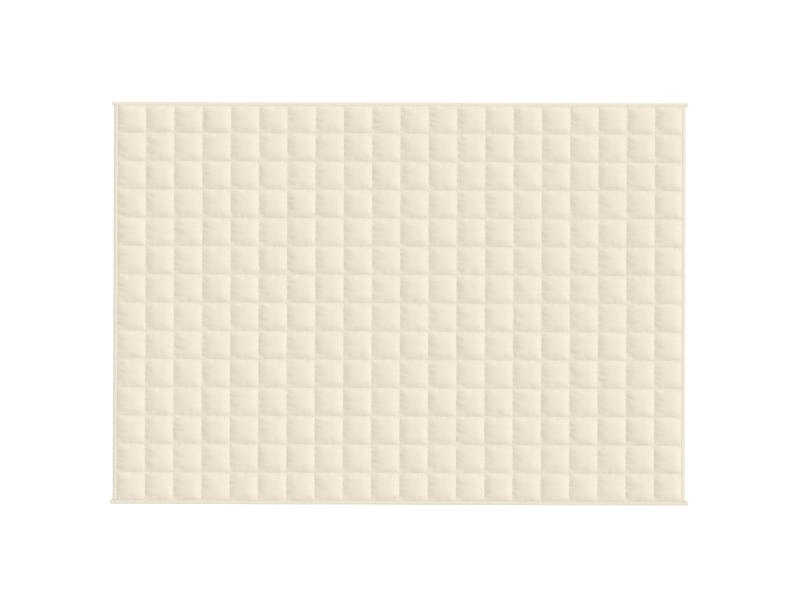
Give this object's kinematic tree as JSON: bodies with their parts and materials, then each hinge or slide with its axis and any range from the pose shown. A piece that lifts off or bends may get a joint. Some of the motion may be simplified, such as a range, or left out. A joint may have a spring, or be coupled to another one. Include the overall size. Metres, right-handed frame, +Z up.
{
  "type": "weighted blanket",
  "caption": "Rectangular weighted blanket lying flat: a filled quilt sewn into squares, its edges bound in folded tape.",
  "frame": {"origin": "on the surface that the blanket lies on, under the middle of its outline", "axes": "+X along the blanket's length, +Y across it towards the far long edge, +Z up, out of the upper face"},
  "size_m": [2.018, 1.4068, 0.0129],
  "materials": {
    "cover_fabric": "fine plain weave, soft and matt, warm cream",
    "binding_tape": "fine plain weave tape, matt, warm cream"
  },
  "bodies": {
    "root": {"quilt": "cover_fabric", "long_binding_far": "binding_tape", "long_binding_near": "binding_tape", "end_binding_left": "binding_tape", "end_binding_right": "binding_tape"}
  },
  "joints": []
}
